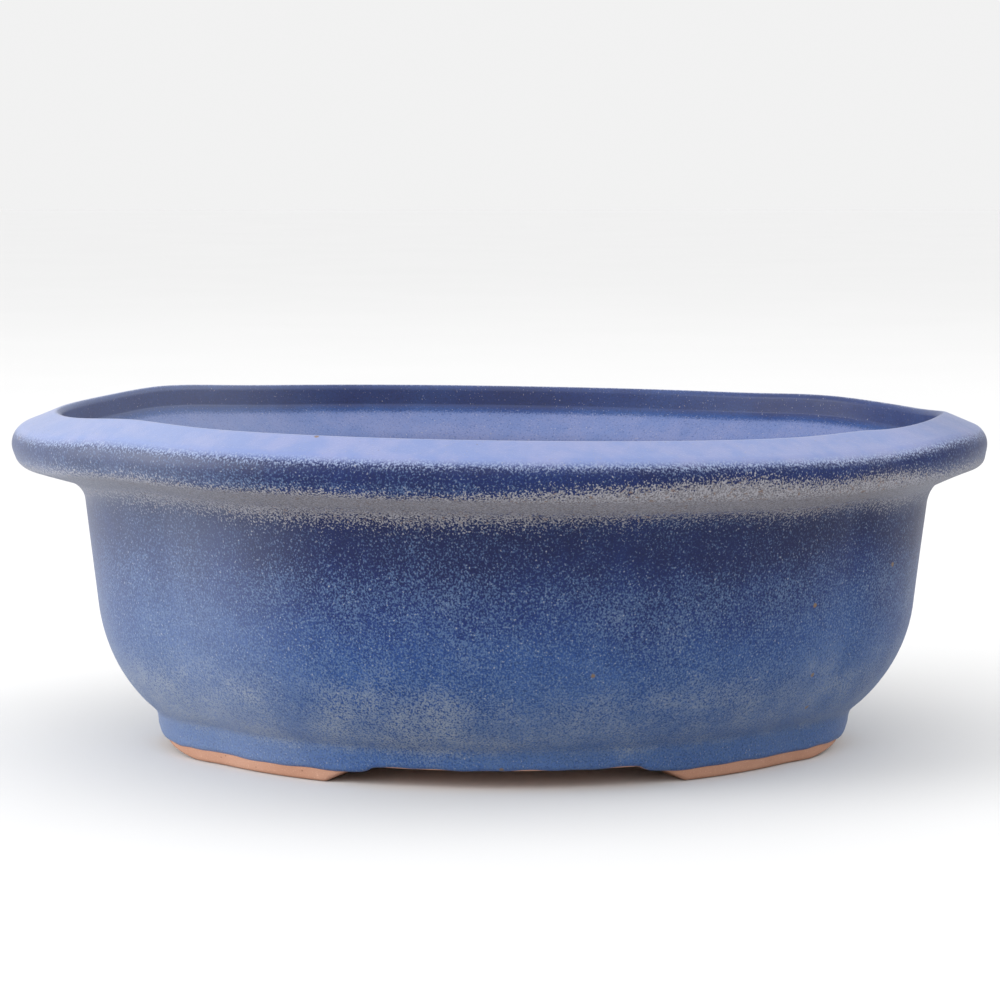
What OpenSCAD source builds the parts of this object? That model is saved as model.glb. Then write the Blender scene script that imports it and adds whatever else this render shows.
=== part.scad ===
// Bonsai pot: a lobed, glazed stoneware pot, built from a slab, wall panels, lip strips
// and corner feet that are luted together, coated with glaze and fired.
//
// Every level of the pot has the same plan, moved in or out by an offset. The plan is eight
// tangent arcs: four lobes and the four notches between them. A section of the pot is drawn
// with points [offset, height]: offset 0 is the widest line of the lip, and it is negative
// towards the middle of the pot. Turning a section about the centre of each arc makes the pot.

/* [Overall] */
// Length over the lip
pot_l = 300; // [250:1:360]
// Width over the lip
pot_w = 240; // [200:1:290]
// Height from the table to the top of the lip
pot_h = 104; // [86:1:125]

/* [Plan] */
// Angle that each end lobe turns through, from notch to notch
end_lobe_turn = 105; // [100:0.5:110]
// Angle that each long lobe turns through, from notch to notch
long_lobe_turn = 93; // [88:0.5:100]
// Radius that softens each notch, at the widest line of the lip
notch_r = 24; // [12:1:40]

/* [Body] */
// Thickness of the fired wall
wall_t = 8; // [5:0.5:10]
// Outward lean of the upper wall, in degrees
wall_lean = 6.3; // [3:0.1:9]
// Height where the belly's curve starts below the straight wall
belly_h = 45; // [38:1:54]
// Radius of the belly's curve
belly_r = 50; // [42:1:60]
// Height of the crease between the belly and the foot band
crease_h = 11.7; // [10:0.1:14]
// Radius that softens the crease
crease_r = 5; // [2:0.5:6]
// Outward lean of the foot band, in degrees
band_lean = 13.5; // [8:0.5:16]

/* [Lip] */
// Height of the lip above the neck
lip_h = 22; // [18:0.5:26]
// How far the lip stands out from the wall at the neck
lip_over = 19.5; // [16:0.5:23]
// How far the lip's crest is in from its widest line
crest_in = 15; // [13:0.5:18]
// Rise of the lip's underside, in degrees
lip_under_rise = 20; // [14:1:26]
// Fall of the lip's top from the crest to the outer edge, in degrees
lip_top_fall = 22; // [16:1:28]
// Outward lean of the lip's outer face, in degrees
lip_face_lean = 16; // [10:1:20]
// Height of the upright face inside the crest
lip_step_h = 6.5; // [4:0.5:8]
// Slope of the ledge below that face, in degrees
ledge_slope = 42; // [36:1:48]
// Radius of the neck below the lip
neck_r = 8.5; // [5:0.5:10]
// Radius of the lip's outer edge
lip_edge_r = 6.5; // [4:0.5:7]
// Radius of the lip's lower corner
lip_under_r = 4; // [2:0.5:5]
// Radius of the crest
crest_r = 2; // [1:0.5:3]
// Radius where the ledge runs into the inner wall
ledge_r = 10; // [5:1:12]

/* [Feet] */
// Height of the feet, and of the arches between them
foot_h = 6; // [5:0.5:8]
// Width of a foot's ring at the table
foot_w = 13; // [11:0.5:16]
// Radius of the foot's bottom edge
foot_edge_r = 1.5; // [0.5:0.5:2]
// Length of the arch in each long side, at the table
long_arch_l = 109; // [91:1:130]
// Length of the arch in each end, at the table
end_arch_l = 64; // [60:1:74]
// How far each end of a long arch slopes in, from the table to the top
long_slope_l = 15; // [10:1:18]
// How far each end of an end arch slopes in, from the table to the top
end_slope_l = 24; // [14:1:24]

/* [Floor] */
// Thickness of the floor slab
floor_t = 8; // [6.5:0.5:10]
// Diameter of each drainage hole
drain_d = 22; // [16:0.5:26.5]
// Distance between the middles of the two drainage holes
drain_gap = 84; // [70:1:100]
// Diameter of each tie-wire hole
wire_d = 5; // [3:0.5:6]
// Distance along the pot between the tie-wire holes
wire_gap_x = 132; // [110:1:140]
// Distance across the pot between the tie-wire holes
wire_gap_y = 44; // [36:1:53]

/* [Glaze] */
// Thickness of the glaze
glaze_t = 0.6; // [0.4:0.1:0.8]
// Height of the bare clay band at the feet
glaze_foot_h = 3.5; // [2.5:0.5:4.5]
// How far down inside the glaze runs from the top of the lip
glaze_in_l = 42; // [35:1:50]

/* [Hidden] */

clay = [0.80, 0.58, 0.47];
cobalt = [0.22, 0.33, 0.58];
$fn = 180;
round_step = 14;      // degrees between the points of a rounded corner
belly_steps = 9;      // straight steps that make the belly's curve
far = 2 * pot_l;      // longer than anything that it cuts
tuck = 0.03;          // how far a notch lies in from the lobes beside it
lap = 0.4;            // degrees that a notch runs on into each lobe beside it

// Plan: notch corner where a long lobe and an end lobe would meet, in the +X +Y quarter
end_tan = tan(end_lobe_turn / 4);
long_tan = tan(long_lobe_turn / 4);
corner_x = (pot_l / 2 - end_tan * pot_w / 2) / (1 - end_tan * long_tan);
corner_y = (pot_w / 2 - long_tan * pot_l / 2) / (1 - end_tan * long_tan);
end_r = corner_y / sin(end_lobe_turn / 2);
long_r = corner_x / sin(long_lobe_turn / 2);
end_c = [pot_l / 2 - end_r, 0];
long_c = [0, pot_w / 2 - long_r];

// Centre of the notch's arc, which touches both lobes from outside
lobe_span = norm(end_c - long_c);
lobe_dir = (end_c - long_c) / lobe_span;
notch_along = ((long_r + notch_r) ^ 2 - (end_r + notch_r) ^ 2 + lobe_span ^ 2) / (2 * lobe_span);
notch_off = sqrt((long_r + notch_r) ^ 2 - notch_along ^ 2);
notch_c = long_c + notch_along * lobe_dir + notch_off * [-lobe_dir.y, lobe_dir.x];
long_a = heading(long_c, notch_c);
end_a = heading(end_c, notch_c);
notch_a = 180 + (long_a + end_a) / 2;

// Section, outside: the neck, the wall's line and the belly's curve
neck = [-lip_over, pot_h - lip_h];
wall_a = 90 - wall_lean;
belly_top = along(neck, wall_a, (belly_h - neck.y) / sin(wall_a));
belly_c = along(belly_top, 180 - wall_lean, belly_r);
crease_a = asin((belly_c.y - crease_h) / belly_r);
crease = along(belly_c, -crease_a, belly_r);
band_a = 90 - band_lean;
glaze_foot = along(crease, band_a, (glaze_foot_h - crease_h) / sin(band_a));

// Section, lip: the crest and the edge are set so that their arcs reach pot_h and offset 0
lip_face_a = 90 - lip_face_lean;
crest = [-crest_in, pot_h + crest_r * (tan(lip_top_fall) + 1 / cos(lip_top_fall) - 1)];
edge_c = [-lip_edge_r, crest.y - (crest_in - lip_edge_r) * tan(lip_top_fall)
                       - lip_edge_r / cos(lip_top_fall)];
face = along(edge_c, -lip_face_lean, lip_edge_r);
edge = meet(face, lip_face_a, crest, -lip_top_fall);
under = meet(neck, lip_under_rise, face, lip_face_a);

// Section, inside: the upright face, the ledge, and the wall's line moved in by its thickness
step_foot = [-crest_in - 0.5, pot_h - lip_step_h];
inner_neck = along(neck, 180 - wall_lean, wall_t);
ledge_end = meet(step_foot, ledge_slope, inner_neck, wall_a);
glaze_end = along(inner_neck, wall_a, (pot_h - glaze_in_l - inner_neck.y) / sin(wall_a));
clay_inner_r = belly_r - wall_t - glaze_t;
floor_top = foot_h + floor_t;
floor_a = asin((belly_c.y - floor_top) / clay_inner_r);

// The glazed surface, from the bare band at the foot over the lip to the glaze's inner edge
glazed = rounded(concat(
    [[glaze_foot, 0], [crease, crease_r]],
    [for (i = [1:belly_steps]) [along(belly_c, -mix(crease_a, wall_lean, i / belly_steps), belly_r), 0]],
    [[neck, neck_r], [under, lip_under_r], [edge, lip_edge_r], [crest, crest_r],
     [step_foot, crest_r / 2], [ledge_end, ledge_r], [glaze_end, 0]]));
clay_skin = inset(glazed, glaze_t);

// The clay of the wall and the lip, which goes round the floor slab's edge, and of the feet
foot_toe = along(clay_skin[0], band_a, -clay_skin[0].y / sin(band_a));
slab_e = along(belly_c, -floor_a, clay_inner_r).x;
foot_e = foot_toe.x - foot_w;
clay_inside = [for (i = [0:belly_steps])
    along(belly_c, -mix(wall_lean, floor_a, i / belly_steps), clay_inner_r)];
body_section = concat([[slab_e, 0], foot_toe], [for (i = [1:len(clay_skin) - 1]) clay_skin[i]],
    clay_inside);
foot_section = rounded([[[foot_e, 0], 0], [foot_toe, foot_edge_r], [clay_skin[1], 0],
    [[foot_e, clay_skin[1].y], 0]]);
glaze_section = concat(glazed, [for (i = [len(clay_skin) - 1:-1:0]) clay_skin[i]]);

function mix(a, b, t) = a + (b - a) * t;
function heading(from, to) = atan2(to.y - from.y, to.x - from.x);
function along(p, angle, distance) = p + distance * [cos(angle), sin(angle)];
function unit(v) = v / norm(v);
function cross2(a, b) = a.x * b.y - a.y * b.x;

// Where the line through p at angle a meets the line through q at angle b
function meet(p, a, q, b) = along(p, a, cross2(q - p, [cos(b), sin(b)]) / sin(b - a));

// Replaces the corner b between a and c by an arc of radius r that touches both straights
function bend(a, b, c, r) =
    let (u = unit(a - b), v = unit(c - b), half = acos(u * v) / 2, turn = 180 - 2 * half,
         start = b + u * r / tan(half), centre = b + unit(u + v) * r / sin(half),
         from = heading(centre, start), way = sign(cross2(b - a, c - b)),
         steps = ceil(turn / round_step))
    [for (i = [0:steps]) along(centre, from + way * turn * i / steps, r)];

// A path of [point, radius] corners with each corner rounded, as plain points
function rounded(path) = [for (i = [0:len(path) - 1]) each
    i == 0 || i == len(path) - 1 || path[i][1] == 0 ? [path[i][0]]
    : bend(path[i - 1][0], path[i][0], path[i + 1][0], path[i][1])];

// The path moved to its left by d, which is into the clay
function inset(path, d) = [for (i = [0:len(path) - 1])
    let (before = unit(path[max(i, 1)] - path[max(i, 1) - 1]),
         after = unit(path[min(i + 1, len(path) - 1)] - path[min(i, len(path) - 2)]),
         way = unit(before + after))
    path[i] + d / (way * before) * [-way.y, way.x]];

// The child section turned about a lobe's centre
module lobe(centre, r, from, to) {
    translate(centre) rotate(from) rotate_extrude(angle = to - from) translate([r, 0]) children();
}

// The child section turned about the notch's centre, which is outside the pot
module notch(from, to) {
    translate(notch_c) rotate(from) rotate_extrude(angle = to - from)
        translate([notch_r + tuck, 0]) mirror([1, 0]) children();
}

// The child section along the back of the pot, from the middle of one notch to the next
module back_run() {
    lobe(long_c, long_r, long_a, 180 - long_a) children();
    for (side = [0, 1]) mirror([side, 0, 0]) notch(180 + long_a - lap, notch_a) children();
}

// The child section round the right end of the pot, from the middle of one notch to the next
module right_run() {
    lobe(end_c, end_r, -end_a, end_a) children();
    for (side = [0, 1]) mirror([0, side, 0]) notch(notch_a, 180 + end_a + lap) children();
}

// The child section round the back right quarter of the pot
module quarter_run() {
    lobe(end_c, end_r, 0, end_a) children();
    notch(180 + long_a - lap, 180 + end_a + lap) children();
    lobe(long_c, long_r, long_a, 90) children();
}

// The child's part between two heights
module between(low, high) {
    intersection() {
        children();
        translate([-far / 2, -far / 2, low]) cube([far, far, high - low]);
    }
}

// The pot's plan moved by an offset: the lobes, the middle, and the notches taken out
module plan(e) {
    long_tip = long_c + (long_r + e) * unit(notch_c - long_c);
    end_tip = end_c + (end_r + e) * unit(notch_c - end_c);
    difference() {
        union() {
            square(2 * long_tip, center = true);
            square(2 * end_tip, center = true);
            for (way = [0, 180]) rotate(way) {
                intersection() {
                    translate(long_c) circle(long_r + e);
                    translate([-long_tip.x, 0]) square([2 * long_tip.x, far]);
                }
                intersection() {
                    translate(end_c) circle(end_r + e);
                    translate([0, -end_tip.y]) square([far, 2 * end_tip.y]);
                }
            }
            polygon([for (s = [[1, 1], [-1, 1], [-1, -1], [1, -1]], t = s.x * s.y > 0 ? [0, 1] : [1, 0])
                [s.x * (t == 0 ? end_tip.x : long_tip.x), s.y * (t == 0 ? end_tip.y : long_tip.y)]]);
        }
        for (x = [0, 1], y = [0, 1]) mirror([x, 0]) mirror([0, y]) translate(notch_c)
            circle(notch_r + tuck - e);
    }
}

// An arch's outline, on its side, running past everything along the pot or across it
module arch(length, slope_l, top) {
    slope = slope_l / foot_h;
    rotate([90, 0, 0]) linear_extrude(far, center = true)
        polygon([[-length / 2 - slope, -1], [length / 2 + slope, -1],
                 [length / 2 - slope * top, top], [-length / 2 + slope * top, top]]);
}

module arches(top) {
    arch(long_arch_l, long_slope_l, top);
    rotate(90) arch(end_arch_l, end_slope_l, top);
}

module holes(d, gap_x, gap_y) {
    for (x = [-1, 1], y = gap_y == 0 ? [0] : [-1, 1])
        translate([x * gap_x / 2, y * gap_y / 2, foot_h - 1]) cylinder(h = floor_t + 2, d = d);
}

module foot() {
    color(clay) difference() {
        between(0, foot_h) quarter_run() polygon(foot_section);
        arches(foot_h + 1);
    }
}

module floor_slab() {
    color(clay) difference() {
        translate([0, 0, foot_h]) linear_extrude(floor_t) plan(slab_e);
        holes(drain_d, drain_gap, 0);
        holes(wire_d, wire_gap_x, wire_gap_y);
    }
}

module wall_back() {
    color(clay) between(foot_h, neck.y) back_run() polygon(body_section);
}

module wall_front() {
    mirror([0, 1, 0]) wall_back();
}

module wall_right() {
    color(clay) between(foot_h, neck.y) right_run() polygon(body_section);
}

module wall_left() {
    mirror([1, 0, 0]) wall_right();
}

module lip_back() {
    color(clay) between(neck.y, far) back_run() polygon(body_section);
}

module lip_front() {
    mirror([0, 1, 0]) lip_back();
}

module lip_right() {
    color(clay) between(neck.y, far) right_run() polygon(body_section);
}

module lip_left() {
    mirror([1, 0, 0]) lip_right();
}

module foot_back_right() {
    foot();
}

module foot_back_left() {
    mirror([1, 0, 0]) foot();
}

module foot_front_right() {
    mirror([0, 1, 0]) foot();
}

module foot_front_left() {
    rotate(180) foot();
}

module glaze_coat() {
    color(cobalt) difference() {
        union() {
            for (side = [0, 1]) {
                mirror([0, side, 0]) lobe(long_c, long_r, long_a, 180 - long_a) polygon(glaze_section);
                mirror([side, 0, 0]) lobe(end_c, end_r, -end_a, end_a) polygon(glaze_section);
            }
            for (x = [0, 1], y = [0, 1]) mirror([x, 0, 0]) mirror([0, y, 0])
                notch(180 + long_a - lap, 180 + end_a + lap) polygon(glaze_section);
        }
        arches(foot_h);
    }
}

floor_slab();
wall_front();
wall_back();
wall_left();
wall_right();
lip_front();
lip_back();
lip_left();
lip_right();
foot_front_left();
foot_front_right();
foot_back_left();
foot_back_right();
glaze_coat();
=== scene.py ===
import math

import bpy
import numpy as np
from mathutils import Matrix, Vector
from mathutils.geometry import tessellate_polygon


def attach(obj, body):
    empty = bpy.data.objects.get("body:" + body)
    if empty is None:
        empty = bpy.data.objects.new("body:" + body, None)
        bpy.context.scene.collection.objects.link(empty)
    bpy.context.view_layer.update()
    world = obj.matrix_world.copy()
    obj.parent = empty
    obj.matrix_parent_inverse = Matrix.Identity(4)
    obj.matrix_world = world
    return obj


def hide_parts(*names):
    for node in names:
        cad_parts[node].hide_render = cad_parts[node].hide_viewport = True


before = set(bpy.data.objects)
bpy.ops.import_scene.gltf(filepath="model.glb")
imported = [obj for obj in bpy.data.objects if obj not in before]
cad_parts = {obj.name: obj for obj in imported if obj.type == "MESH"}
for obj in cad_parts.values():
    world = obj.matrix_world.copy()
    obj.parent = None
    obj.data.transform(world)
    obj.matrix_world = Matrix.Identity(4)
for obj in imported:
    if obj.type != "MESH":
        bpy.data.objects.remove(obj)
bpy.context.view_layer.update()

# A lobed bonsai pot: unglazed stoneware inside and below, under one coat of mottled cobalt
# glaze. Sizes are in millimetres, as the part's source names them; to_mesh makes them metres.
#
# Every level of the pot has the same plan, moved in or out by an offset, so a point of the
# pot is (station, offset, height). A section is a row of complex numbers: offset + 1j * height.
# Offset 0 is the widest line of the lip, and it is negative towards the middle of the pot.

MM = 0.001

# Overall and plan
pot_l, pot_w, pot_h = 300.0, 240.0, 104.0
end_lobe_turn, long_lobe_turn, notch_r = 105.0, 93.0, 24.0

# Body
wall_t, wall_lean = 8.0, 6.3
belly_h, belly_r = 45.0, 50.0
crease_h, crease_r, band_lean = 11.7, 5.0, 13.5

# Lip
lip_h, lip_over, crest_in = 22.0, 19.5, 15.0
lip_under_rise, lip_top_fall, lip_face_lean = 20.0, 22.0, 16.0
lip_step_h, ledge_slope = 6.5, 42.0
neck_r, lip_edge_r, lip_under_r, crest_r, ledge_r = 8.5, 6.5, 4.0, 2.0, 10.0

# Feet, floor and holes
foot_h, foot_w, foot_edge_r = 6.0, 13.0, 1.5
long_arch_l, end_arch_l = 109.0, 64.0
long_slope_l, end_slope_l = 15.0, 24.0
long_climb, end_climb = 0.57, 0.15     # how steeply a foot's ends leave the table
foot_flare = 0.9                       # how far a foot's bottom spreads out
long_rise_l, end_rise_l = 2.8, 1.7     # how softly the glaze's edge rises past a foot's end
arch_gap = 0.12                        # how far below an arch's top the glaze stops
floor_t = 8.0
drain_d, drain_gap = 22.0, 84.0
wire_d, wire_gap_x, wire_gap_y = 5.0, 132.0, 44.0

# Glaze
glaze_t, glaze_foot_h, glaze_in_l = 0.6, 3.5, 42.0


# ---------------------------------------------------------------- plan

def turned(degrees):
    """The unit complex number at that angle."""
    return np.exp(1j * np.radians(degrees))


def plan_arcs():
    """The eight tangent arcs of the plan, counter-clockwise from the right end: centre, radius,
    first and last angle, and 1 for a lobe or -1 for a notch, whose centre is outside the pot."""
    end_tan = math.tan(math.radians(end_lobe_turn / 4))
    long_tan = math.tan(math.radians(long_lobe_turn / 4))
    share = 1 - end_tan * long_tan
    corner_x = (pot_l / 2 - end_tan * pot_w / 2) / share
    corner_y = (pot_w / 2 - long_tan * pot_l / 2) / share
    end_r = corner_y / math.sin(math.radians(end_lobe_turn / 2))
    long_r = corner_x / math.sin(math.radians(long_lobe_turn / 2))
    end_c, long_c = pot_l / 2 - end_r + 0j, 1j * (pot_w / 2 - long_r)
    span = abs(end_c - long_c)
    along = ((long_r + notch_r) ** 2 - (end_r + notch_r) ** 2 + span ** 2) / (2 * span)
    across = math.sqrt((long_r + notch_r) ** 2 - along ** 2)
    notch_c = long_c + (end_c - long_c) / span * (along + 1j * across)
    end_a = math.degrees(np.angle(notch_c - end_c))
    long_a = math.degrees(np.angle(notch_c - long_c))
    half = [(end_c, end_r, -end_a, end_a, 1), (notch_c, notch_r, 180 + end_a, 180 + long_a, -1),
            (long_c, long_r, long_a, 180 - long_a, 1), (-notch_c.conjugate(), notch_r, -long_a, -end_a, -1)]
    return half + [(-c, r, a + 180, b + 180, kind) for c, r, a, b, kind in half]


def walk_plan():
    """Stations along the plan: the point at offset 0, the outward normal, and each arc's first
    station. A station's point at an offset is its base + offset * normal."""
    base, normal, starts = [], [], []
    for centre, radius, first, last, kind in plan_arcs():
        steps = notch_steps if kind < 0 else int(radius * math.radians(last - first) / station_gap)
        way = turned(first + (last - first) * np.arange(steps) / steps)
        starts.append(sum(map(len, base)))
        base.append(centre + radius * way)
        normal.append(kind * way)
    return np.concatenate(base), np.concatenate(normal), starts


station_gap, notch_steps = 1.8, 8
BASE, NORMAL, ARC_START = walk_plan()
STATIONS = len(BASE)


# ---------------------------------------------------------------- section

def meet(p, a, q, b):
    """Where the line through p at angle a meets the line through q at angle b."""
    reach = (q - p).conjugate() * turned(b)
    return p + turned(a) * reach.imag / math.sin(math.radians(b - a))


def bend(a, b, c, r, step=5.0):
    """The corner b between a and c as an arc of radius r that touches both straights."""
    u, v = (a - b) / abs(a - b), (c - b) / abs(c - b)
    half = abs(np.angle(v / u)) / 2
    start, centre = b + u * r / math.tan(half), b + (u + v) / abs(u + v) * r / math.sin(half)
    sweep = (math.pi - 2 * half) * np.sign(((b - a).conjugate() * (c - b)).imag)
    count = math.ceil(abs(math.degrees(sweep)) / step)
    return centre + (start - centre) * np.exp(1j * sweep * np.arange(count + 1) / count)


def rounded(path):
    """A path of (point, radius) corners with each inner corner rounded, as plain points."""
    points = [p for p, r in path]
    rows = [np.array([p]) if r == 0 or i in (0, len(path) - 1) else bend(points[i - 1], p, points[i + 1], r)
            for i, (p, r) in enumerate(path)]
    return np.concatenate(rows)


def filled(path, longest):
    """The path with points added evenly, so that no step is longer than longest."""
    steps = np.maximum(1, np.ceil(np.abs(np.diff(path)) / longest)).astype(int)
    rows = [a + (b - a) * np.arange(k) / k for a, b, k in zip(path[:-1], path[1:], steps)]
    return np.concatenate(rows + [path[-1:]])


def even(path, count):
    """count points spread evenly along the path."""
    at = np.concatenate([[0], np.cumsum(np.abs(np.diff(path)))])
    want = np.linspace(0, at[-1], count)
    return np.interp(want, at, path.real) + 1j * np.interp(want, at, path.imag)


def outward(path):
    """Unit normals on the right of the path: the mean direction of the two steps at each point,
    turned a quarter clockwise."""
    way = np.diff(path) / np.abs(np.diff(path))
    way = np.concatenate([way[:1], way[:-1] + way[1:], way[-1:]])
    return -1j * way / np.abs(way)


neck = -lip_over + 1j * (pot_h - lip_h)
wall_a, band_a, lip_face_a = 90 - wall_lean, 90 - band_lean, 90 - lip_face_lean
belly_top = neck + turned(wall_a) * (belly_h - neck.imag) / turned(wall_a).imag
belly_c = belly_top + belly_r * turned(180 - wall_lean)
crease_a = math.degrees(math.asin((belly_c.imag - crease_h) / belly_r))
crease = belly_c + belly_r * turned(-crease_a)


def band_at(height):
    """The glazed foot band's point at a height: it leans straight down from the crease."""
    return crease + turned(band_a) * (height - crease.imag) / turned(band_a).imag


fall = math.radians(lip_top_fall)
crest = -crest_in + 1j * (pot_h + crest_r * (math.tan(fall) + 1 / math.cos(fall) - 1))
edge_z = crest.imag - (crest_in - lip_edge_r) * math.tan(fall) - lip_edge_r / math.cos(fall)
face = -lip_edge_r + 1j * edge_z + lip_edge_r * turned(-lip_face_lean)
edge = meet(face, lip_face_a, crest, -lip_top_fall)
under = meet(neck, lip_under_rise, face, lip_face_a)
step_foot = -crest_in - 0.5 + 1j * (pot_h - lip_step_h)
inner_neck = neck + wall_t * turned(180 - wall_lean)
ledge_end = meet(step_foot, ledge_slope, inner_neck, wall_a)


def inner_wall_at(height):
    """The glazed inner wall's point at a height, on the wall's line moved in by its thickness."""
    return inner_neck + turned(wall_a) * (height - inner_neck.imag) / turned(wall_a).imag


clay_inner_r = belly_r - wall_t - glaze_t
floor_top = foot_h + floor_t
floor_a = math.degrees(math.asin((belly_c.imag - floor_top) / clay_inner_r))
slab_e = (belly_c + clay_inner_r * turned(-floor_a)).real

# The glazed line from the foot band over the lip to the inner wall. The belly starts as a few
# corners, which a finer arc then replaces. The line's first and last straights are worked out
# again at each station, where the glaze's edges wander
belly = [(belly_c + belly_r * turned(-a), 0) for a in np.linspace(crease_a, wall_lean, 10)[1:]]
glazed = rounded([(band_at(glaze_foot_h), 0), (crease, crease_r)] + belly
                 + [(neck, neck_r), (under, lip_under_r), (edge, lip_edge_r), (crest, crest_r),
                    (step_foot, crest_r / 2), (ledge_end, ledge_r), (inner_wall_at(pot_h - glaze_in_l), 0)])
belly_arc = belly_c + belly_r * turned(-np.linspace(crease_a, wall_lean, 32))
glazed = np.concatenate([glazed[:np.argmax(glazed.imag > belly_arc[3].imag)], belly_arc[4:],
                         glazed[np.argmax(glazed.imag > belly_arc[-1].imag + 0.01):]])
skin = filled(glazed[1:-1], 2.1)
fine_line = filled(glazed, 1.2)

# The clay's own line under the glaze, whole and as far as the crest
CLAY_SKIN = fine_line - glaze_t * outward(fine_line)
CLAY_OUT = CLAY_SKIN[:np.argmax(CLAY_SKIN.imag) + 1]


# ---------------------------------------------------------------- the hand-made pot

lean_x = -0.016                       # the rim's rise for each mm to the right: it falls
sag_front, sag_back = -1.0, 1.6       # how far the middles of the long rims sag
sag_reach, sag_full = 110.0, 80.0     # half the length that sags; how far out it is full
notch_lift, notch_reach = 0.94, 22.0  # the rim's rise at the notches, and how far it spreads
left_drop, right_lift = 2.0, 2.7      # the rim's drop at the left tip, its lift at the front right
left_tip, right_tip = (106, 144), (110, 140)  # where along the pot the drop and the lift grow
front_side = (-30, 25)                # where across the pot, towards the front, the lift grows
body_shift, rim_shift = 1.4, -0.5     # how far right of the middle the body and the rim sit
wave_depth = 0.2                      # the walls' shallow waves
notch_mid = BASE[ARC_START[1] + notch_steps // 2] - lip_over * NORMAL[ARC_START[1] + notch_steps // 2]


def smooth(x, low, high):
    """0 below low, 1 above high, and a smooth S between them."""
    t = np.clip((x - low) / (high - low), 0, 1)
    return t * t * (3 - 2 * t)


def hand_made(x, y, z):
    """The true pot's slight unevenness, from 0 at the feet to its full size at the rim. A
    point's height grows by the lift, which leans along the pot, sags by a cosine towards the
    middles of the long sides, swells round the notches, drops at the left tip and lifts at the
    front right one. Its place along the pot shifts with the body or the rim, and its distance
    from the middle is scaled by a product of two slow sine waves."""
    full = smooth(z, floor_top, pot_h)
    sag = np.where(y < 0, sag_front, sag_back) * np.clip(np.abs(y) / sag_full, 0, 1)
    sag = sag * np.cos(np.pi / 2 * np.clip(np.abs(x) / sag_reach, 0, 1))
    corner = np.hypot(np.abs(x) - notch_mid.real, np.abs(y) - notch_mid.imag)
    lift = lean_x * x - sag + notch_lift * np.exp(-(corner / notch_reach) ** 2)
    lift = lift - left_drop * smooth(-x, *left_tip)
    lift = lift + right_lift * smooth(x, *right_tip) * smooth(-y, *front_side)
    wave = wave_depth * np.sin(x / 23 + z / 31) * np.sin(y / 19 - z / 17 + 1.0)
    rim = smooth(z, 78, 94)
    shift = body_shift * smooth(z, -20, 45) * (1 - rim) + rim_shift * rim
    return x * (1 + full * wave / 90) + shift, y * (1 + full * wave / 70), z + full * lift


# ---------------------------------------------------------------- meshes

def to_mesh(name, points, faces, material, sharp=None):
    """A mesh object from an array of points in millimetres and a list of faces, shaded smooth,
    with edges that bend by more than sharp degrees kept sharp."""
    mesh = bpy.data.meshes.new(name)
    mesh.from_pydata((points * MM).tolist(), [], faces)
    mesh.shade_smooth()
    if sharp:
        mesh.set_sharp_from_angle(angle=math.radians(sharp))
    mesh.materials.append(material)
    piece = bpy.data.objects.new(name, mesh)
    bpy.context.scene.collection.objects.link(piece)
    return piece


def placed(stations, section):
    """The points of section rows, one row a station: base + offset * normal, then the height,
    and then the pot's own unevenness."""
    flat = BASE[stations][:, None] + section.real * NORMAL[stations][:, None]
    return np.stack(hand_made(flat.real, flat.imag, section.imag), -1)


def loop_faces(rows, columns, ring):
    """Quads between neighbouring rows of closed loops, which join up at the ends in a ring."""
    i, j = np.meshgrid(np.arange(rows if ring else rows - 1), np.arange(columns), indexing="ij")
    next_i, next_j = (i + 1) % rows, (j + 1) % columns
    corners = [i * columns + j, next_i * columns + j, next_i * columns + next_j, i * columns + next_j]
    return np.stack(corners, -1).reshape(-1, 4).tolist()


def end_faces(rows, columns):
    """Flat ends for a strip of loops whose first half pairs with its second half backwards."""
    j = np.arange(columns // 2 - 1)
    first = np.stack([j, j + 1, columns - 2 - j, columns - 1 - j], -1)
    last = first[:, ::-1] + (rows - 1) * columns
    return np.concatenate([first, last]).tolist()


def strip(name, stations, section, material):
    """A closed piece swept along some of the stations. section holds a loop, or a row of them
    with one for each station, that goes up the outside and back down the inside."""
    section = np.broadcast_to(section, (len(stations), section.shape[-1]))
    rows, columns = section.shape
    faces = loop_faces(rows, columns, False) + end_faces(rows, columns)
    return to_mesh(name, placed(stations, section).reshape(-1, 3), faces, material, sharp=40)


def between_notches(side):
    """The stations from the middle of one notch to the middle of the next: side 0 is the right
    end, 1 the back, 2 the left end and 3 the front."""
    first = ARC_START[2 * side - 1] - (STATIONS if side == 0 else 0) + notch_steps // 2
    return np.arange(first, ARC_START[2 * side + 1] + notch_steps // 2 + 1) % STATIONS


def add_attribute(piece, name, values):
    """A number at each point of the piece, for its material to read."""
    layer = piece.data.attributes.new(name, "FLOAT", "POINT")
    layer.data.foreach_set("value", np.asarray(values, np.float32).ravel())


# ---------------------------------------------------------------- clay pieces

wall_points, lip_points, foot_points = 60, 44, 24   # points along each half of a piece's section
end_facing = 0.72     # a station belongs to an end where its normal points this much along the pot
sole_seam = 6.0       # where on the sole a foot's outer and inner halves meet, from its inside
under_glaze = 0.05    # how far a foot's bottom stays below the glaze's edge
thinnest_foot = 0.03  # what is left of a foot's height over an arch
slab_reach = 0.7      # how far the floor slab reaches into the walls
hole_edge_r = 1.1     # the rounded edges of the holes


def from_height(path, height):
    """The part of a rising path from a height on, starting exactly there."""
    k = np.argmax(path.imag > height)
    share = (height - path[k - 1].imag) / (path[k].imag - path[k - 1].imag)
    return np.concatenate([[path[k - 1] + share * (path[k] - path[k - 1])], path[k:]])


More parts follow.
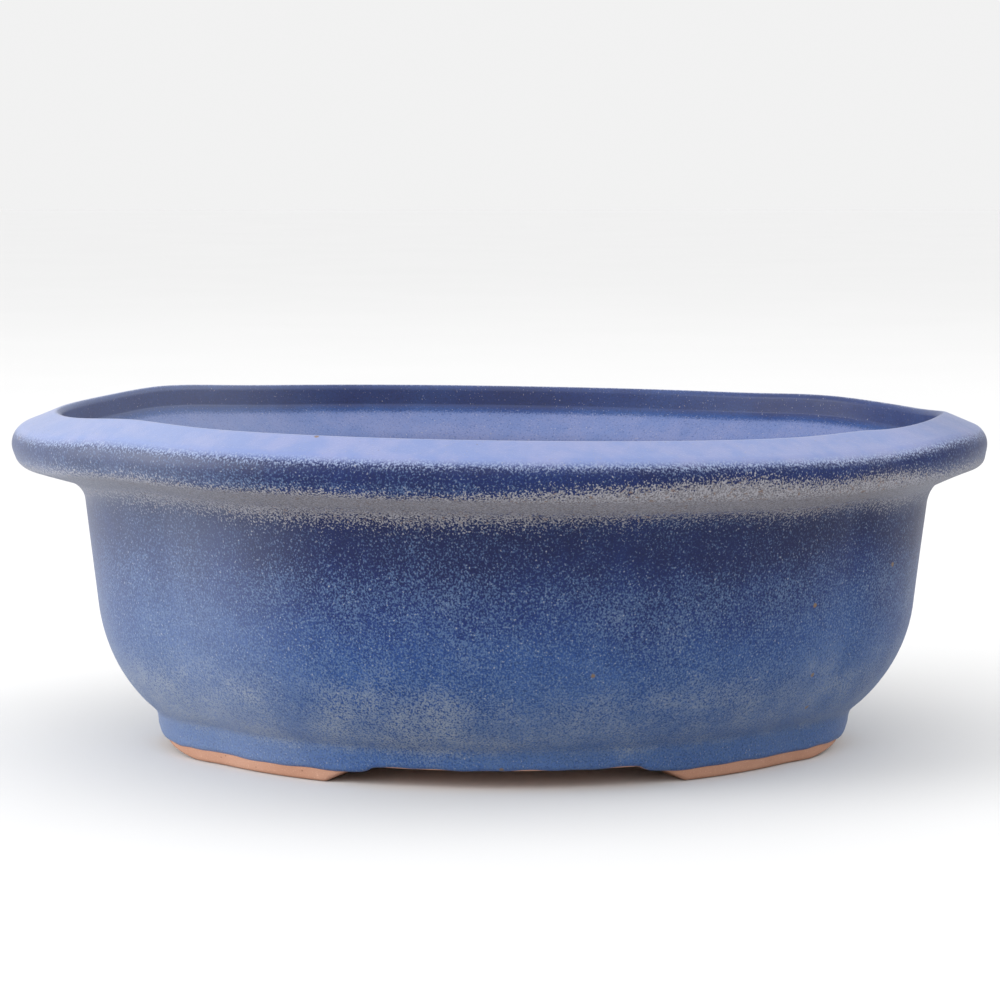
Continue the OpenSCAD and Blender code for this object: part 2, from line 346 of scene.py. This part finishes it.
def to_height(path, height):
    """The part of a rising path up to a height, ending exactly there."""
    k = np.argmax(path.imag > height)
    share = (height - path[k - 1].imag) / (path[k].imag - path[k - 1].imag)
    return np.concatenate([path[:k], [path[k - 1] + share * (path[k] - path[k - 1])]])


def wall_section():
    """Up the clay's outside from the foot's top to the neck, and down the inside: the wall's
    line, the belly's inner curve and the floor slab's edge."""
    belly_inside = belly_c + clay_inner_r * turned(-np.linspace(floor_a, wall_lean, 30))
    glaze_end = pot_h - glaze_in_l
    upper = [inner_clay_at(glaze_end - 4), inner_clay_at(neck.imag)]
    inside = np.concatenate([[slab_e + 1j * foot_h], belly_inside, upper])
    outside = to_height(from_height(CLAY_OUT, foot_h), neck.imag)
    return np.concatenate([even(outside, wall_points), even(inside, wall_points)[::-1]])


def lip_section():
    """Up the clay's outside from the neck to the crest, and down the inside over the step and
    the ledge to the neck's height again."""
    top = np.argmax(CLAY_SKIN.imag)
    outside = from_height(CLAY_OUT, neck.imag)
    inside = from_height(CLAY_SKIN[top:][::-1], neck.imag)
    return np.concatenate([even(outside, lip_points), even(inside, lip_points + 1)[:-1][::-1]])


def inner_clay_at(height):
    """The clay's inner wall line at a height: the glazed line moved into the wall."""
    return inner_wall_at(height) - glaze_t * 1j * turned(wall_a)


def past_arch(stations):
    """How far a station's toe lies past the middle of its arch, less half the arch (negative
    over an arch, positive along a foot), and whether the arch is one of the shorter ones in
    the right and left ends."""
    toe = BASE[stations] + crease.real * NORMAL[stations]
    by_end = np.abs(toe.imag) - end_arch_l / 2
    by_side = np.abs(toe.real) - long_arch_l / 2
    at_end = np.abs(NORMAL[stations].real) > end_facing
    return np.where(at_end, by_end, by_side), at_end


def glaze_edge_height(stations):
    """The glaze's lower edge: it runs level round the feet. Near the end of each foot it rises
    to just below the arch's top, as the exponential of minus the distance from the arch's top
    over the rise length."""
    past, at_end = past_arch(stations)
    past_top = past + np.where(at_end, end_slope_l, long_slope_l)
    near_top = np.exp(-np.clip(past_top, 0, None) / np.where(at_end, end_rise_l, long_rise_l))
    return glaze_foot_h + (foot_h - arch_gap - glaze_foot_h) * near_top


def foot_section(stations):
    """The foot's loop at each station: the band's clay line outside, a rounded bottom, and an
    upright inside. Past the foot's end its bottom climbs in a straight line, and by a sixth
    power near the arch's top, until it meets the glaze's edge, which it follows. The loop is
    squeezed evenly into the height that is left, and spreads outwards towards its bottom."""
    toe = clay_band_at(0)
    inner = toe.real - foot_w
    seam = inner + sole_seam + 0j
    outside = rounded([(clay_band_at(foot_h), 0), (toe, foot_edge_r), (seam, 0)])
    inside = rounded([(inner + 1j * foot_h, 0), (inner + 0j, foot_edge_r), (seam, 0)])
    loop = np.concatenate([even(outside, foot_points)[::-1], even(inside, foot_points + 1)[:-1]])
    past, at_end = past_arch(stations)
    slope_l = np.where(at_end, end_slope_l, long_slope_l)
    climb = np.where(at_end, end_climb, long_climb)
    inward = np.clip(-past, 0, slope_l)
    slope = climb * inward + np.clip(foot_h - climb * slope_l, 0, None) * (inward / slope_l) ** 6
    bottom = np.minimum(slope, glaze_edge_height(stations) - under_glaze)
    bottom = np.minimum(bottom, foot_h - thinnest_foot)
    height = bottom[:, None] + loop.imag * (foot_h - bottom[:, None]) / foot_h
    return loop.real + foot_flare * (1 - height / foot_h) + 1j * height


def clay_band_at(height):
    """The bare foot band's point at a height: the glazed band moved in by the glaze."""
    return band_at(height) + glaze_t * 1j * turned(band_a)


def foot_stations(side):
    """The stations of the foot round one notch, from arch to arch: 0 is the back right foot, and
    the others follow counter-clockwise. They are looked for from the middle of the lobe before
    the notch to the middle of the lobe after it."""
    turns = ARC_START + [STATIONS + start for start in ARC_START]
    first = (turns[2 * side] + turns[2 * side + 1]) // 2
    last = (turns[2 * side + 2] + turns[2 * side + 3]) // 2
    near = np.arange(first, last + 1) % STATIONS
    past, at_end = past_arch(near)
    return near[past > -np.where(at_end, end_slope_l, long_slope_l)]


def ring(radius, centre, count):
    """A circle of points as complex numbers, counter-clockwise, made slightly out of round, as
    a hole cut in soft clay is."""
    angle = 2 * np.pi * np.arange(count) / count
    uneven = 1 + 0.012 * np.sin(2 * angle + centre.real) + 0.006 * np.sin(5 * angle + centre.imag)
    return centre + radius * uneven * np.exp(1j * angle)


def slab(name, material):
    """The floor slab: flat faces above and below with holes through them. Each hole is a ring
    carried down its rounded edges, and the outline reaches a little into the walls."""
    turn = np.radians(np.linspace(0, 90, 6))
    flare, drop = hole_edge_r * (1 - np.sin(turn)), hole_edge_r * (1 - np.cos(turn))
    widen = np.concatenate([flare, flare[::-1]])
    level = np.concatenate([floor_top - drop, foot_h + drop[::-1]])
    holes = [(drain_d / 2, side * drain_gap / 2 + 0j, 64) for side in (-1, 1)]
    holes += [(wire_d / 2, x * wire_gap_x / 2 + 1j * y * wire_gap_y / 2, 28)
              for x in (-1, 1) for y in (-1, 1)]
    tubes = [np.broadcast_to(BASE + (slab_e + slab_reach) * NORMAL, (2, STATIONS))]
    tubes += [np.stack([ring(radius + w, centre, count) for w in widen]) for radius, centre, count in holes]
    levels = [np.array([floor_top, foot_h])] + [level] * len(holes)
    points, faces, tops, bottoms, start = [], [], [], [], 0
    for tube, heights in zip(tubes, levels):
        rows, count = tube.shape
        z = np.broadcast_to(heights[:, None], tube.shape)
        points.append(np.stack([tube.real, tube.imag, z], -1).reshape(-1, 3))
        i, j = np.meshgrid(np.arange(rows - 1), np.arange(count), indexing="ij")
        k = (j + 1) % count
        here, below = i * count, (i + 1) * count
        quads = start + np.stack([here + j, below + j, below + k, here + k], -1)
        faces += (quads if start == 0 else quads[..., ::-1]).reshape(-1, 4).tolist()
        tops.append(start + np.arange(count))
        bottoms.append(start + (rows - 1) * count + np.arange(count))
        start += rows * count
    points = np.stack(hand_made(*np.concatenate(points).T), -1)
    for rims, up in ((tops, True), (bottoms, False)):
        flat = np.concatenate(rims)
        triangles = tessellate_polygon([[Vector(points[n]) for n in rim] for rim in rims])
        triangles = flat[np.array(triangles)]
        a, b, c = points[triangles[:, 0], :2], points[triangles[:, 1], :2], points[triangles[:, 2], :2]
        rising = (b[:, 0] - a[:, 0]) * (c[:, 1] - a[:, 1]) - (b[:, 1] - a[:, 1]) * (c[:, 0] - a[:, 0]) > 0
        triangles[rising != up] = triangles[rising != up][:, ::-1]
        faces += triangles.tolist()
    return to_mesh(name, points, faces, material, sharp=30)


# ---------------------------------------------------------------- glaze coat

edge_roll = 1.3        # the width of the glaze's rounded edge
glaze_depth = 0.15     # how far the coat's hidden side lies in the clay
pool_t, pool_in, pool_w = 0.25, 1.4, 1.2   # the pooled bead: its thickness, place and width
hidden_columns = 26    # points along the coat's hidden side


def glaze_rows():
    """The glazed line at every station, its outward normals, and the distance of each point from
    the nearer edge of the glaze. The line's first straight starts at the glaze's lower edge and
    its last one ends at the inner edge, and both edges wander."""
    every = np.arange(STATIONS)
    way = np.angle(BASE)
    low_edge = glaze_edge_height(every) + 0.16 * np.sin(17 * way + 2) + 0.12 * np.sin(41 * way)
    end_edge = pot_h - glaze_in_l + 1.6 * np.sin(5 * way + 1) + 0.9 * np.sin(13 * way)
    end_edge = end_edge + 0.4 * np.sin(37 * way)
    # Both ends have their points closer together towards the glaze's edge
    low_share = np.linspace(0, 1, 9)[:-1] ** 1.7
    low = band_at(low_edge[:, None] + (skin[0].imag - low_edge[:, None]) * low_share)
    end_share = 1 - np.linspace(1, 0, 12)[1:] ** 1.5
    ends = inner_wall_at(skin[-1].imag + (end_edge[:, None] - skin[-1].imag) * end_share)
    line = np.concatenate([low, np.broadcast_to(skin, (STATIONS, len(skin))), ends], 1)
    out = np.concatenate([np.full(low.shape[1], -1j * turned(band_a)), outward(skin),
                          np.full(ends.shape[1], 1j * turned(wall_a))])
    from_edge = np.minimum(np.abs(line - line[:, :1]), np.abs(line - line[:, -1:]))
    return line, np.broadcast_to(out, line.shape), from_edge


def glaze_coat(name, material):
    """One closed skin round the whole pot: the glazed line, swollen a little where the glaze has
    pooled along its edges and rounded off onto the clay, and a hidden side just in the clay."""
    line, out, from_edge = glaze_rows()
    round_off = np.sqrt(1 - (1 - np.clip(from_edge / edge_roll, 0, 1)) ** 2)
    pooled = pool_t * np.exp(-((from_edge - pool_in) / pool_w) ** 2)
    shown = line + out * ((glaze_t + pooled) * round_off - glaze_t)
    columns = np.unique(np.linspace(0, line.shape[1] - 1, hidden_columns).astype(int))
    hidden = (line - out * (glaze_t + glaze_depth))[:, columns][:, ::-1]
    loop = np.concatenate([shown, hidden], 1)
    every = np.arange(STATIONS)
    faces = loop_faces(STATIONS, loop.shape[1], True)
    piece = to_mesh(name, placed(every, loop).reshape(-1, 3), faces, material)
    paint_zones(piece, loop, shown.shape[1])
    return piece


def paint_zones(piece, loop, shown):
    """Numbers that place the glaze's zones. They follow the distance down the outside from the crest
    (negative inside) and the place along the plan, by smooth steps between distances in millimetres. grey
    is the dry deposit under the lip. depth goes from navy to pale blue; round the notches it lightens the
    belly as a painted reflection, and inside it is painted lighter on the ledge as painted top light and
    gets darker further down. bloom is the pale lilac skin where the glaze broke over the lip, together with
    a painted reflection of the overhead light on the lip's top, and painted top light on the inner ledge.
    fringe is the lip's bloom times its lack, where the bloom breaks into grains, dusting is how thickly the
    pale specks lie, and pale lightens the left end as painted light from the left, and also the step's face
    and the deposit at both ends."""
    steps = np.abs(np.diff(loop, axis=1))
    walked = np.concatenate([np.zeros((STATIONS, 1)), np.cumsum(steps, 1)], 1)
    crest_column = np.argmax(loop[0].imag)
    down = walked[:, crest_column:crest_column + 1] - walked
    x, y = BASE.real[:, None], BASE.imag[:, None]
    valley = np.exp(-((np.hypot(np.abs(x) - notch_mid.real, np.abs(y) - notch_mid.imag)) / 24) ** 2)
    drift = 0.9 * np.sin(x / 26 + y / 40) + 0.6 * np.sin(x / 9.5 + 1) * np.sin(y / 13)
    climb = 4 * smooth(x - 0.3 * y, 35, 110) * (1 - smooth(x, 112, 136))
    start, end = 17.5 - climb + drift, 37 - climb / 2 + drift
    grey = smooth(down, start, start + 9) * (1 - smooth(down, end, end + 13))
    grey = grey * (1 - 0.2 * smooth(down, 31, 37))
    # The valley term lightens the belly round the notches as a painted reflection of the light in their
    # hollows.
    depth = smooth(down, 50, 92) * 0.62 + 0.3 * smooth(down, 92, 122) + 0.34 * valley * smooth(down, 44, 60)
    depth = np.where(down > 40, depth, 0.10 + 0.3 * smooth(down, 20, 32))
    inside = smooth(-down, 8.2, 9.5)
    depth = depth + 0.22 * smooth(-down, -0.5, 1.5)
    # Inside, the ledge is painted lighter as painted top light, and the colour gets darker further down the
    # inner wall.
    depth = depth * (1 - inside) + inside * (0.62 - 0.35 * smooth(-down, 24, 42))
    # Over the lip's top the pale lilac is partly the glaze broken lighter and partly a painted reflection
    # of the overhead light.
    bloom_and_sheen = smooth(-down, -16.0, -11.0) * (1 - smooth(-down, -0.6, 1.4))
    fringe = 1.7 * bloom_and_sheen * (1 - bloom_and_sheen)
    bloom_and_sheen = bloom_and_sheen * (1 - 0.3 * smooth(x, 112, 146))
    # The pale lilac added on the inner ledge is painted top light.
    bloom_and_sheen = bloom_and_sheen + 0.6 * smooth(-down, 9.0, 12.5) * (1 - smooth(-down, 26, 38))
    dusting = 0.28 + 0.22 * smooth(down, 80, 100) * (1 - smooth(down, 116, 122))
    dusting = dusting - 0.35 * (1 - smooth(down, 17, 22))
    dusting = dusting - 0.3 * smooth(down, 40, 47) * (1 - smooth(down, 52, 66))
    dusting = dusting - 1.6 * smooth(-down, -1, 2)
    # The first term is painted light from the left, lightening the left end; the second lightens the step's
    # face, and the next line the deposit at both ends.
    pale = 0.13 * smooth(-x, 55, 110) + 0.05 * smooth(-down, -0.5, 1.5) * (1 - inside)
    pale = pale + grey * 0.2 * smooth(np.abs(x), 100, 140)
    zones = {"grey": grey, "depth": depth, "bloom_and_sheen": bloom_and_sheen, "dusting": dusting, "pale": pale,
             "fringe": fringe}
    for name, values in zones.items():
        values = np.where(np.arange(loop.shape[1]) < shown, values, 0)
        add_attribute(piece, name, values)


# ---------------------------------------------------------------- materials

def colour(red, green, blue):
    """A screen colour from 0 to 255 as the linear colour that shaders use."""
    part = np.array([red, green, blue]) / 255
    linear = np.where(part <= 0.04045, part / 12.92, ((part + 0.055) / 1.055) ** 2.4)
    return (*linear.tolist(), 1.0)


class Paint:
    """A material with short calls that add its nodes. A value may be a number, a colour or
    another node's output."""

    def __init__(self, name):
        self.material = bpy.data.materials.new(name)
        self.material.use_nodes = True
        self.nodes, self.links = self.material.node_tree.nodes, self.material.node_tree.links
        self.shader = self.nodes["Principled BSDF"]
        self.place = self.nodes.new("ShaderNodeTexCoord").outputs["Object"]

    def put(self, socket, value):
        """The value on the socket, or a link from another node's output into it."""
        if isinstance(value, bpy.types.NodeSocket):
            self.links.new(value, socket)
        else:
            socket.default_value = value

    def surface(self, **values):
        """Values for the shader's own sockets, named with _ for a space."""
        for name, value in values.items():
            self.put(self.shader.inputs[name.replace("_", " ")], value)

    def noise(self, size, detail=2.0, rough=0.5, stretch=(1, 1, 1), shift=0.0):
        """Noise whose lumps are about size millimetres across, longer along a stretched axis."""
        turn = self.nodes.new("ShaderNodeMapping")
        turn.inputs["Scale"].default_value = [1 / (size * MM * s) for s in stretch]
        turn.inputs["Location"].default_value = (shift, shift, shift)
        self.put(turn.inputs["Vector"], self.place)
        noise = self.nodes.new("ShaderNodeTexNoise")
        noise.inputs["Scale"].default_value = 1.0
        noise.inputs["Detail"].default_value = detail
        noise.inputs["Roughness"].default_value = rough
        self.put(noise.inputs["Vector"], turn.outputs[0])
        return noise.outputs["Fac"]

    def cells(self, size, shift=0.0):
        """Distance to the nearest of points scattered about size millimetres apart, in cells,
        and a number of the nearest point's own."""
        turn = self.nodes.new("ShaderNodeMapping")
        turn.inputs["Scale"].default_value = [1 / (size * MM)] * 3
        turn.inputs["Location"].default_value = (shift, shift, shift)
        self.put(turn.inputs["Vector"], self.place)
        cells = self.nodes.new("ShaderNodeTexVoronoi")
        cells.inputs["Scale"].default_value = 1.0
        self.put(cells.inputs["Vector"], turn.outputs[0])
        split = self.nodes.new("ShaderNodeSeparateColor")
        self.put(split.inputs[0], cells.outputs["Color"])
        return cells.outputs["Distance"], split.outputs[0]

    def calc(self, kind, a, b=0.0, c=0.0):
        """One step of arithmetic on up to three values."""
        node = self.nodes.new("ShaderNodeMath")
        node.operation = kind
        for socket, value in zip(node.inputs, (a, b, c)):
            self.put(socket, value)
        return node.outputs[0]

    def step(self, value, low, high, first=0.0, last=1.0):
        """first below low, last above high, and a smooth S between them."""
        node = self.nodes.new("ShaderNodeMapRange")
        node.interpolation_type = "SMOOTHSTEP"
        names = ("Value", "From Min", "From Max", "To Min", "To Max")
        for name, number in zip(names, (value, low, high, first, last)):
            self.put(node.inputs[name], number)
        return node.outputs[0]

    def mix(self, share, a, b):
        """Colour a where share is 0 and b where it is 1."""
        node = self.nodes.new("ShaderNodeMix")
        node.data_type = "RGBA"
        for socket, value in zip((node.inputs[0], node.inputs[6], node.inputs[7]), (share, a, b)):
            self.put(socket, value)
        return node.outputs[2]

    def ramp(self, value, *stops):
        """A row of colours that follow a value; each stop is (place, colour)."""
        node = self.nodes.new("ShaderNodeValToRGB")
        while len(node.color_ramp.elements) < len(stops):
            node.color_ramp.elements.new(0.5)
        for element, (place, shade) in zip(node.color_ramp.elements, stops):
            element.position, element.color = place, shade
        self.put(node.inputs[0], value)
        return node.outputs[0]

    def attribute(self, name):
        """The number that a mesh holds under that name at each of its points."""
        node = self.nodes.new("ShaderNodeAttribute")
        node.attribute_name = name
        return node.outputs["Fac"]

    def bumps(self, *layers):
        """Bumps of (height, depth in millimetres), each on top of the one before."""
        normal = None
        for height, depth in layers:
            node = self.nodes.new("ShaderNodeBump")
            node.inputs["Distance"].default_value = depth * MM
            self.put(node.inputs["Height"], height)
            if normal:
                self.put(node.inputs["Normal"], normal)
            normal = node.outputs[0]
        self.surface(Normal=normal)


def cobalt_glaze():
    """Mottled cobalt glaze, laid over each other in this order: a ground from navy to pale blue, which
    round the notches and on the inner ledge is lighter as painted reflection and painted top light,
    worm-like pale specks, a lilac bloom with grains along its edge, which also holds a painted reflection
    of the overhead light on the lip's top and painted top light on the inner ledge, a dry grey deposit with
    dark and rusty grains, iron flecks, and a pale overlay that on the left end is painted light from the
    left. The deposit is rough, the bloom shinier."""
    p = Paint("cobalt_glaze")
    zones = ("grey", "depth", "bloom_and_sheen", "dusting", "pale", "fringe")
    grey, depth, bloom_and_sheen, dusting, pale, fringe = (p.attribute(name) for name in zones)
    cloud = p.noise(38, 3, 0.55)
    drift = p.noise(11, 3, 0.6, shift=7)
    fine = p.noise(0.55, 2, 0.55, (1, 1, 1.15))
    grain = p.noise(0.5, 2, 0.6, shift=3)
    level = p.calc("ADD", depth, p.calc("MULTIPLY_ADD", cloud, 0.7, -0.35))
    level = p.calc("ADD", level, p.calc("MULTIPLY_ADD", drift, 0.3, -0.15))
    ground = p.ramp(level, (0.0, colour(9, 22, 70)), (0.3, colour(14, 38, 94)), (0.62, colour(30, 62, 118)),
                    (1.0, colour(64, 92, 142)))
    dark = p.mix(p.step(grain, 0.55, 0.35, 0, 0.5), ground, colour(6, 18, 50))
    much = p.calc("ADD", dusting, p.calc("MULTIPLY_ADD", cloud, -0.6, 0.3))
    much = p.calc("ADD", much, p.calc("MULTIPLY_ADD", drift, 0.5, -0.25))
    edge_of_speck = p.step(much, -1.2, 1, 0.82, 0.39)
    speck = p.step(p.calc("SUBTRACT", fine, edge_of_speck), -0.08, 0.14)
    speck_tint = p.mix(p.step(much, 0.3, 0.9), colour(74, 98, 134), colour(152, 156, 154))
    dusted = p.mix(p.calc("MULTIPLY", speck, 0.8), dark, speck_tint)
    # These lilac colours are lighter than the glaze's own, to paint the reflection of the overhead light on
    # the lip's top.
    lilac = p.mix(p.step(drift, 0.35, 0.65), colour(118, 134, 180), colour(132, 141, 181))
    bloom_edge = p.calc("ADD", fine, p.calc("MULTIPLY", bloom_and_sheen, 0.6))
    broken = p.calc("MULTIPLY", bloom_and_sheen, p.step(bloom_edge, 0.5, 0.85))
    with_bloom_and_sheen = p.mix(p.calc("MULTIPLY", broken, 0.85), dusted, lilac)
    grains = p.calc("MULTIPLY", fringe, p.step(fine, 0.46, 0.62))
    with_bloom_and_sheen = p.mix(grains, with_bloom_and_sheen, colour(164, 178, 206))
    cover = p.calc("ADD", grey, p.calc("MULTIPLY_ADD", fine, 2.2, -1.1))
    cover = p.calc("ADD", cover, p.calc("MULTIPLY_ADD", grain, 1.2, -0.6))
    crusted = p.step(cover, 0.38, 0.66)
    crust_tint = p.mix(p.step(grain, 0.40, 0.60), colour(103, 101, 107), colour(143, 142, 149))
    dark_grains = p.step(p.noise(0.9, 2, 0.6, (1.6, 1.6, 1), shift=15), 0.64, 0.72, 0, 0.7)
    crust_tint = p.mix(dark_grains, crust_tint, colour(72, 66, 68))
    rust = p.calc("MULTIPLY", p.step(p.noise(1.3, 2, 0.6, shift=11), 0.60, 0.68), 0.55)
    crust_tint = p.mix(rust, crust_tint, colour(104, 76, 54))
    skin_tint = p.mix(crusted, with_bloom_and_sheen, crust_tint)
    spot, pick = p.cells(13, shift=4)
    near_spot = p.step(p.calc("ADD", spot, p.calc("MULTIPLY", fine, 0.06)), 0.10, 0.07)
    iron = p.calc("MULTIPLY", near_spot, p.step(pick, 0.83, 0.84))
    skin_tint = p.mix(p.calc("MULTIPLY", iron, 0.85), skin_tint, colour(112, 90, 64))
    # The pale overlay: on the left end it is painted light from the left.
    skin_tint = p.mix(pale, skin_tint, colour(176, 186, 206))
    matt = p.step(cover, 0.35, 0.7)
    shine = p.calc("SUBTRACT", 0.42, p.calc("MULTIPLY", bloom_and_sheen, 0.12))
    roughness = p.calc("MULTIPLY_ADD", matt, 0.3, shine)
    p.surface(Base_Color=skin_tint, Roughness=roughness, Specular_IOR_Level=0.25)
    p.bumps((p.noise(5.5, 2, 0.5, shift=2), 0.12), (p.calc("MULTIPLY", crusted, grain), 0.09),
            (p.calc("MULTIPLY_ADD", iron, -1.0, speck), 0.03))
    return p.material


def bare_clay(name, tint, deep, grit):
    """Fired clay without glaze: warm and dry, clouded by the kiln, with fine dark and pale grit,
    turning marks and a sandy surface."""
    p = Paint(name)
    cloud = p.noise(24, 3, 0.6)
    sand = p.noise(0.5, 3, 0.7)
    base = p.mix(p.step(cloud, 0.3, 0.7), tint, deep)
    base = p.mix(p.calc("MULTIPLY", p.step(sand, 0.55, 0.75), 0.35), base, colour(226, 190, 168))
    dots, pick = p.cells(1.6)
    dark = p.calc("MULTIPLY", p.step(dots, 0.22, 0.10), p.step(pick, 1 - grit, 1.02 - grit))
    base = p.mix(p.calc("MULTIPLY", dark, 0.6), base, colour(104, 72, 54))
    p.surface(Base_Color=base, Roughness=0.86, Specular_IOR_Level=0.3)
    p.bumps((p.noise(7, 2, 0.5, (1, 1, 0.35)), 0.16), (sand, 0.07), (p.calc("MULTIPLY", dark, -1.0), 0.05))
    return p.material


def table_paint():
    """A pale matt table top with the faintest clouding."""
    p = Paint("table_paint")
    shade = p.mix(p.noise(160, 2, 0.5), colour(210, 210, 210), colour(213, 213, 213))
    p.surface(Base_Color=shade, Roughness=0.8, Specular_IOR_Level=0.2)
    return p.material


# ---------------------------------------------------------------- the pot

def stand_for(piece, node):
    """The piece rides on the pot and takes the node's place; the node's CAD part is hidden."""
    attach(piece, "root")
    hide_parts(node)


def build_pot():
    """Every piece of the pot, each in place of the CAD node that has its name."""
    wall_clay = bare_clay("wall_clay", colour(206, 158, 134), colour(194, 146, 122), 0.2)
    # The floor clay is painted lighter than the wall clay to stand in for light bouncing into the shade
    # under the arches.
    floor_clay = bare_clay("floor_clay", colour(216, 168, 144), colour(204, 156, 132), 0.25)
    foot_clay = bare_clay("foot_clay", colour(176, 135, 114), colour(165, 122, 100), 0.18)
    sides = ("right", "back", "left", "front")
    for side, word in enumerate(sides):
        span = between_notches(side)
        stand_for(strip("wall_" + word, span, wall_section(), wall_clay), "wall_" + word)
        stand_for(strip("lip_" + word, span, lip_section(), wall_clay), "lip_" + word)
    for side, word in enumerate(("back_right", "back_left", "front_left", "front_right")):
        span = foot_stations(side)
        foot = strip("foot_" + word, span, foot_section(span), foot_clay)
        stand_for(foot, "foot_" + word)
    stand_for(slab("floor_slab", floor_clay), "floor_slab")
    stand_for(glaze_coat("glaze_coat", cobalt_glaze()), "glaze_coat")


# ---------------------------------------------------------------- table, light and camera

def table():
    """The table top: a wide flat square under the feet."""
    half = 6000.0
    corners = np.array([[-half, -half, 0], [half, -half, 0], [half, half, 0], [-half, half, 0]])
    top = to_mesh("table", corners, [[0, 1, 2, 3]], table_paint())


def soft_light(name, place, size, power):
    """A square soft light at a place in metres, facing the middle of the pot."""
    lamp = bpy.data.lights.new(name, "AREA")
    lamp.shape, lamp.size, lamp.energy = "SQUARE", size, power
    light = bpy.data.objects.new(name, lamp)
    light.location = place
    light.rotation_euler = (Vector((0, 0, 0.05)) - Vector(place)).to_track_quat("-Z", "Y").to_euler()
    bpy.context.scene.collection.objects.link(light)


def studio():
    """A white room with a very wide soft light from high in front, a weak soft box behind the
    pot, a bright one low at the left and a weaker one at the right."""
    world = bpy.data.worlds.new("white_room")
    world.use_nodes = True
    world.node_tree.nodes["Background"].inputs["Color"].default_value = (1, 1, 1, 1)
    world.node_tree.nodes["Background"].inputs["Strength"].default_value = 0.885
    bpy.context.scene.world = world
    sky = bpy.data.lights.new("front_sky", "SUN")
    sky.energy, sky.angle = 1.6, math.radians(90)
    light = bpy.data.objects.new("front_sky", sky)
    light.rotation_euler = Vector((0.05, 0.45, -0.85)).to_track_quat("-Z", "Y").to_euler()
    bpy.context.scene.collection.objects.link(light)
    soft_light("back_box", (-0.2, 1.1, 1.6), 2.0, 3)
    soft_light("left_side", (-1.4, -0.4, 0.5), 0.9, 18)
    soft_light("right_side", (1.2, 0.2, 1.0), 0.8, 5)


def front_camera():
    """The camera stands in front of the pot and a little above it, with a long lens."""
    distance, height, pitch, turn = 976.1, 192.5, 0.119, 0.012
    mm_in_frame = 3.245     # thousandths of the frame's width for each mm at the pot
    lens = bpy.data.cameras.new("camera")
    lens.sensor_width = 36
    lens.lens = 36 * distance * mm_in_frame / 1000
    lens.shift_x = -0.0017
    lens.clip_start, lens.clip_end = 0.05, 50
    camera = bpy.data.objects.new("camera", lens)
    camera.location = np.array([-distance * math.sin(turn), -distance * math.cos(turn), height]) * MM
    camera.rotation_euler = (math.pi / 2 - pitch, 0, -turn)
    bpy.context.scene.collection.objects.link(camera)
    bpy.context.scene.camera = camera


bpy.context.scene.view_settings.view_transform = "Standard"
studio()
front_camera()
table()
build_pot()
